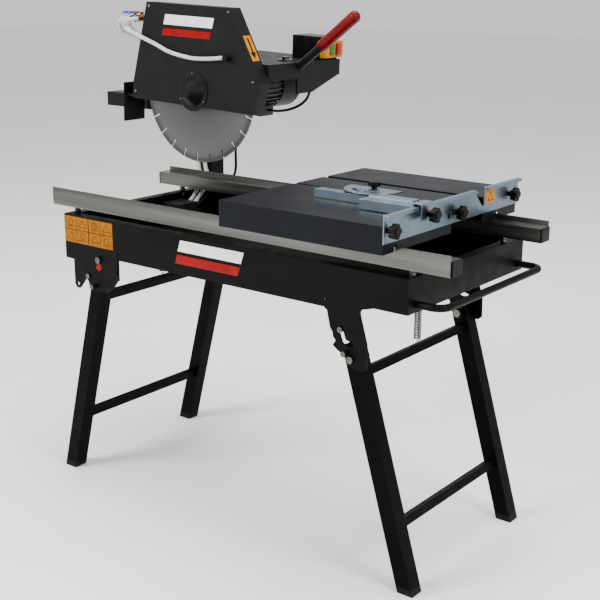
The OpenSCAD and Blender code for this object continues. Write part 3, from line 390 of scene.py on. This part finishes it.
# the switch has a yellow front plate and the flap a painted strap, past these places along the head
secondPaint = {"switch_box": (yellowVinyl, 200.5), "splash_flap": (guardPaint, -228.5)}
for node, (material, edge) in secondPaint.items():
    piece = fine[node]
    piece.data.materials.append(material)
    back = onHead.inverted()
    for face in piece.data.polygons:
        if (back @ face.center * 1000).x > edge:
            face.material_index = len(piece.data.materials) - 1

# the hoses and cables follow the same points as in the CAD model
hoses = {
    "spray": [(-531, 80, 1088), (-533, 66, 1087), (-545, 60, 1085), (-559, 63, 1077), (-561, 69, 1066),
              (-549, 70, 1059), (-515, 70, 1047), (-465, 70, 1031), (-418, 70, 1014), (-371, 70, 1005),
              (-328, 70, 1001), (-277, 70, 1003), (-240, 70, 1007)],
    "inner": [(-416, 141, 630), (-416, 152, 630), (-416, 172, 644), (-420, 192, 661), (-430, 212, 672),
              (-450, 242, 678), (-474, 264, 685), (-487, 271, 704), (-490, 271, 740), (-490, 271, 780),
              (-496, 262, 812), (-515, 248, 833), (-531, 242, 852), (-532, 240, 880), (-536, 236, 910),
              (-542, 227, 940), (-552, 214, 975), (-566, 196, 1010), (-590, 150, 1045), (-602, 122, 1072),
              (-584, 114, 1088), (-567.5, 114, 1088)],
    "outer": [(-434, 141, 630), (-434, 152, 630), (-435, 172, 644), (-442, 192, 661), (-456, 212, 672),
              (-478, 242, 678), (-500, 264, 685), (-510, 271, 704), (-511, 271, 740), (-511, 271, 790),
              (-518, 271, 815), (-530, 270, 838), (-532, 268, 860), (-532, 265, 885), (-538, 256, 915),
              (-546, 246, 945), (-558, 232, 975), (-576, 208, 1005), (-604, 160, 1035), (-620, 115, 1055),
              (-610, 94, 1078), (-588, 91, 1088), (-567.5, 91, 1088)],
    "pumpCable": [(-397, 133, 629), (-397, 144, 629), (-395, 172, 643), (-391, 192, 662), (-387, 214, 672),
                  (-385, 242, 678), (-383, 266, 686), (-383, 276, 708), (-383, 276, 750), (-386, 282, 800),
                  (-420, 292, 850), (-458, 296, 900), (-472, 286, 940), (-470, 268, 970), (-470, 262, 988),
                  (-470, 262, 1001)],
    "motorCable": [(-158, 302, 990), (-158, 301, 975), (-157, 298, 945), (-156, 294, 920), (-157, 288, 905),
                   (-166, 283, 892), (-185, 280, 880), (-215, 282, 870), (-250, 290, 864), (-278, 298, 862),
                   (-295, 302, 862)],
}


# A tube that moves with one body, in place of a CAD node.
def fitTube(name, node, route, radius, material):
    piece = tube(name, route, radius)
    paint(piece, material)
    fit(piece, nodeBody[node])
    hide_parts(node)


fitTube("spray_hose_fine", "spray_hose", smoothRoute(hoses["spray"]), 5, clearHose)
fitTube("motor_cable_fine", "motor_cable", smoothRoute(hoses["motorCable"]), 3.5, cableSheath)


# A tube in place of a CAD node, from a start point to an end point, baked where it stands and attached to no
# body.
def fitBending(name, node, route, radius, material):
    piece = tube(name, route, radius)
    paint(piece, material)
    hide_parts(node)
    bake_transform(piece)


fitBending("inner_supply_fine", "inner_supply_hose", smoothRoute(hoses["inner"]), 5.5, clearHose)
fitBending("outer_supply_fine", "outer_supply_hose", smoothRoute(hoses["outer"]), 5.5, clearHose)
fitBending("pump_cable_fine", "pump_cable", smoothRoute(hoses["pumpCable"]), 3.5, cableSheath)

# both springs are one coil wound to its own number of turns, with straight ends
coil = {"radius": 7.1, "wire": 1.0, "lead": 8, "straight": 5, "held": 12, "steps": 20,
        "turns": {"left": 26, "right": 34}}


def coilRoute(x, low, high, turns):
    count = turns * coil["steps"]
    rise = high - low - 2 * coil["lead"]
    route = [(x, 0, low), (x, 0, low + coil["straight"])]
    for i in range(count + 1):
        angle = 2 * math.pi * i / coil["steps"]
        route.append((x + coil["radius"] * math.cos(angle), coil["radius"] * math.sin(angle),
                      low + coil["lead"] + rise * i / count))
    return route + [(x, 0, high - coil["straight"]), (x, 0, high)]


for side, turns in coil["turns"].items():
    node = side + "_spring"
    low, high = [(Vector(corner) - trayMiddle) * 1000 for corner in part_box(node)]
    x = (low.x + high.x) / 2
    fitBending(node + "_fine", node, coilRoute(x, low.z, high.z, turns), coil["wire"], springWire)
print("hoses, cables and springs laid")

# red hand grip on the handle bar
grip = {"base": (205, 232, 68), "rise": 39, "start": 82, "length": 132, "radius": 14.3}


def gripShape():
    # drawn upright about its own axis, then spun and leaned
    profile = [(10.5, 0), (13.2, 0), (grip["radius"], 2.5)]
    profile += [(grip["radius"] - 0.2, 12), (grip["radius"] - 0.5, 40), (grip["radius"] - 0.2, 90)]
    top = grip["length"] - grip["radius"]
    profile += [(grip["radius"], top)]
    for step in range(1, 9):
        angle = math.pi / 2 * step / 8
        profile.append((grip["radius"] * math.cos(angle), top + grip["radius"] * math.sin(angle)))
    mesh = bpy.data.meshes.new("gripProfile")
    corners = [(x / 1000, 0, z / 1000) for x, z in profile]
    mesh.from_pydata(corners, [(i, i + 1) for i in range(len(corners) - 1)], [])
    piece = bpy.data.objects.new("grip_fine", mesh)
    bpy.context.collection.objects.link(piece)
    selectOnly(piece)
    bpy.ops.object.mode_set(mode="EDIT")
    bpy.ops.mesh.select_all(action="SELECT")
    bpy.ops.mesh.spin(steps=48, angle=2 * math.pi, center=(0, 0, 0), axis=(0, 0, 1))
    bpy.ops.mesh.select_all(action="SELECT")
    bpy.ops.mesh.remove_doubles(threshold=0.00002)
    bpy.ops.mesh.select_all(action="DESELECT")
    bpy.ops.mesh.select_non_manifold()
    bpy.ops.mesh.edge_face_add()
    bpy.ops.mesh.select_all(action="SELECT")
    bpy.ops.mesh.normals_make_consistent(inside=False)
    bpy.ops.object.mode_set(mode="OBJECT")
    bpy.ops.object.shade_smooth_by_angle(angle=math.radians(40))
    lean = (Matrix.Translation(Vector(grip["base"]) / 1000)
            @ Matrix.Rotation(math.radians(90 - grip["rise"]), 4, "Y")
            @ Matrix.Translation((0, 0, grip["start"] / 1000)))
    settle(piece, onHead @ lean)
    return piece


gripPiece = gripShape()
paint(gripPiece, gripRubber)
fit(gripPiece, "head")
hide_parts("grip")
print("grip spun")

# rubber feet: where each leg frame stands in X, and its splay in degrees
feet = {"height": 14, "over": 0.3, "floor": 0.2, "edge": 1.0, "tube": 35, "width": 35.4, "rows": (-207, 207),
        "left": (-507.3, 14.4), "right": (490.6, 16.6)}
for side, legs in (("left", "left_legs"), ("right", "right_legs")):
    footX, splay = feet[side]
    lean = math.tan(math.radians(splay)) * (1 if side == "left" else -1)
    half = feet["tube"] / 2 / math.cos(math.radians(splay)) + feet["over"]
    topX = footX + lean * feet["height"]
    caps = []
    for y in feet["rows"]:
        front = y - feet["width"] / 2
        outline = [(footX - half, front, feet["floor"]), (footX + half, front, feet["floor"]),
                   (topX + half, front, feet["height"]), (topX - half, front, feet["height"])]
        caps.append(cutOut(outline, (0, feet["width"], 0), feet["edge"]))
    cap = join(side + "_foot_caps", caps)
    paint(cap, footRubber)
    fit(cap, legs)
print("feet capped")

# vinyl sleeves on the valve levers
sleeve = {"left": -590, "right": -562, "half": 5.2, "low": 1098.6, "high": 1104.8, "edge": 2.8,
          "red_lever": ("red_valve_lever", 114, redPlastic),
          "blue_lever": ("blue_valve_lever", 91, bluePlastic)}
for node in ("red_lever", "blue_lever"):
    body, y, vinyl = sleeve[node]
    cover = slab((sleeve["left"], y - sleeve["half"], sleeve["low"]),
                 (sleeve["right"], y + sleeve["half"], sleeve["high"]), sleeve["edge"])
    cover.name = node + "_sleeve"
    paint(cover, vinyl)
    fit(cover, body)
print("levers sleeved")

# bolt head on the tray's left wall
sideBolt = {"x": (trayLow.x - trayMiddle.x) * 1000 - 0.1, "y": -215, "z": 607,
            "radius": 6.358, "head": 5, "edge": 0.8}
turns = [math.pi / 3 * i for i in range(6)]
hexagon = [(sideBolt["x"], sideBolt["y"] + sideBolt["radius"] * math.cos(turn),
            sideBolt["z"] + sideBolt["radius"] * math.sin(turn)) for turn in turns]
bolt = cutOut(hexagon, (-sideBolt["head"], 0, 0), sideBolt["edge"])
bolt.name = "tray_side_bolt"
paint(bolt, boltZinc)
fit(bolt, "frame")

# marks on the protractor every 15 degrees, longer at every 45
protractor = {"x": 283, "y": -62, "z": 777.6, "inner": 51, "outer": 58, "longer": 4, "line": 0.9, "ink": 0.15}
ticks = []
for degrees in range(195, 346, 15):
    angle = math.radians(degrees)
    inward = protractor["longer"] if degrees % 45 == 0 else 0
    along = Vector((math.cos(angle), math.sin(angle)))
    across = Vector((-along.y, along.x)) * protractor["line"] / 2
    centre = Vector((protractor["x"], protractor["y"]))
    near, far = centre + along * (protractor["inner"] - inward), centre + along * protractor["outer"]
    corners = (near - across, far - across, far + across, near + across)
    ticks.append(cutOut([(p.x, p.y, protractor["z"]) for p in corners], (0, 0, protractor["ink"]), 0))
marks = join("protractor_marks", ticks)
paint(marks, inkVinyl)
fit(marks, "guide")
print("bolt and marks added")

# decals: those on the tray stand just in front of its front wall
frontFace = (trayLow.y - trayMiddle.y) * 1000


# A thin decal on the tray's front wall, drawn as an outline in X and Z.
def trayDecal(name, outline, lift, material):
    piece = cutOut([(x, frontFace - lift, z) for x, z in outline], (0, 0.25, 0), 0)
    piece.name = name
    paint(piece, material)
    return fit(piece, "frame")


def rectangle(x0, z0, x1, z1):
    return [(x0, z0), (x1, z0), (x1, z1), (x0, z1)]


label = {"left": -476, "right": -316, "low": 588, "high": 650, "columns": 4, "rows": 2, "line": 1.1}
labelOutline = rectangle(label["left"], label["low"], label["right"], label["high"])
trayDecal("instruction_label", labelOutline, 0.3, amberVinyl)
cellW = (label["right"] - label["left"]) / label["columns"]
cellH = (label["high"] - label["low"]) / label["rows"]


def inkLine(start, end, width):
    along = (Vector(end) - Vector(start)).normalized()
    side = Vector((-along.y, along.x)) * width / 2
    corners = [Vector(start) - side, Vector(end) - side, Vector(end) + side, Vector(start) + side]
    return cutOut([(p.x, frontFace - 0.5, p.y) for p in corners], (0, 0.2, 0), 0)


inks = []
for column in range(1, label["columns"]):
    x = label["left"] + column * cellW
    width = label["line"] * (2 if column == 2 else 0.8)
    inks.append(inkLine((x, label["low"] + 1), (x, label["high"] - 1), width))
middleZ = (label["low"] + label["high"]) / 2
inks.append(inkLine((label["left"] + 1, middleZ), (label["right"] - 1, middleZ), label["line"]))
# each cell holds a plain line drawing: a disc over a bench, or a wedge
for column in range(label["columns"]):
    for row in range(label["rows"]):
        x = label["left"] + (column + 0.5) * cellW
        z = label["low"] + (row + 0.5) * cellH
        if (column + row) % 2:
            turns = [math.pi / 5 * i for i in range(11)]
            ring = [(x + 8 * math.cos(turn), z + 2 + 8 * math.sin(turn)) for turn in turns]
            inks += [inkLine(ring[i], ring[i + 1], 0.9) for i in range(10)]
            inks.append(inkLine((x - 14, z - 8), (x + 14, z - 8), 0.9))
        else:
            wedge = [(x - 13, z - 7), (x + 13, z - 7), (x + 2, z + 9)]
            inks += [inkLine(wedge[i], wedge[(i + 1) % 3], 0.9) for i in range(3)]
labelLines = join("label_lines", inks)
paint(labelLines, inkVinyl)
fit(labelLines, "frame")
trayDecal("tray_white_stripe", [(-112, 618), (68, 618), (76, 643), (-104, 643)], 0.3, whiteVinyl)
trayDecal("tray_red_stripe", [(-121, 590), (59, 590), (66, 610), (-114, 610)], 0.3, redVinyl)


def headDecal(name, outline, thickness, material):
    piece = cutOut(outline, thickness, 0, onHead)
    piece.name = name
    paint(piece, material)
    return fit(piece, "head")


# the guard's stripes lie just in front of its cover
guardFront = 79.6
headDecal("guard_white_stripe", [(-98, guardFront, 152), (60, guardFront, 152), (66, guardFront, 176),
                                 (-92, guardFront, 176)], (0, 0.25, 0), whiteVinyl)
headDecal("guard_red_stripe", [(-104, guardFront, 126), (52, guardFront, 126), (57, guardFront, 143),
                               (-99, guardFront, 143)], (0, 0.25, 0), redVinyl)
# arrow sticker on the guard's sloping right side: from the top corner down
slopeTop, slopeLow = Vector((115, 0, 202)), Vector((211, 0, 37))
slope = (slopeLow - slopeTop).normalized()
outward = Vector((-slope.z, 0, slope.x))


def onSlope(along, y, lift):
    point = slopeTop + slope * along + outward * lift
    return (point.x, y, point.z)


headDecal("arrow_sticker", [onSlope(70, 86, 0.1), onSlope(70, 111, 0.1), onSlope(134, 111, 0.1),
                            onSlope(134, 86, 0.1)], tuple(outward * 0.3), yellowVinyl)
arrow = ((76, 96), (76, 101), (112, 101), (112, 107), (129, 98.5), (112, 90), (112, 96))
headDecal("arrow_mark", [onSlope(along, y, 0.4) for along, y in arrow], tuple(outward * 0.2), inkVinyl)
# warning sticker on the upright face of the fence, right of the blade's notch
fenceFace = 441.0


def fenceDecal(name, corners, lift, thickness, material):
    piece = cutOut([(fenceFace + lift, y, z) for y, z in corners], (thickness, 0, 0), 0)
    piece.name = name
    paint(piece, material)
    return fit(piece, "cart")


fenceDecal("fence_sticker", ((120, 739), (157, 739), (157, 769), (120, 769)), 0.1, 0.3, yellowVinyl)
fenceDecal("fence_sticker_mark", ((127, 744), (150, 744), (138.5, 764)), 0.4, 0.2, inkVinyl)
fenceDecal("fence_sticker_fill", ((130, 745.8), (147, 745.8), (138.5, 760.5)), 0.6, 0.2, yellowVinyl)
# small red tag below the left bracket's pivot bolt
trayDecal("leg_tag", [(-375, 536), (-371, 549), (-359, 549), (-357, 538), (-364, 531)], 0.3, redVinyl)
print("decals laid")

# floor and lights
bpy.ops.object.select_all(action="DESELECT")
bpy.ops.mesh.primitive_plane_add(size=40, location=(0, 0, -0.0005))
floor = bpy.context.object
floor.name = "studio_floor"
floorFinish = grained("paleFloor", ("#f4f4f3", "#f8f8f7"), 400, (0.7, 0.8), 200, 20, 0.02)
paint(floor, floorFinish)


def softLight(name, position, target, size, power):
    lamp = bpy.data.objects.new(name, bpy.data.lights.new(name, "AREA"))
    bpy.context.collection.objects.link(lamp)
    lamp.data.shape = "DISK"
    lamp.data.size = size
    lamp.data.energy = power
    lamp.location = position
    lamp.rotation_euler = (Vector(target) - Vector(position)).to_track_quat("-Z", "Y").to_euler()


softLight("keyLight", (-1.6, -3.2, 2.9), (0, 0, 0.8), 1.8, 190)
softLight("sideLight", (3.4, -0.6, 2.4), (0.1, 0, 0.8), 1.6, 110)
softLight("topLight", (0.1, 0.3, 3.6), (0.1, 0, 0.8), 2.2, 120)
world = bpy.data.worlds.new("paleRoom")
world.use_nodes = True
world.node_tree.nodes["Background"].inputs["Color"].default_value = linearColour("#f4f4f4")
world.node_tree.nodes["Background"].inputs["Strength"].default_value = 1.0
bpy.context.scene.world = world
print("lights set")
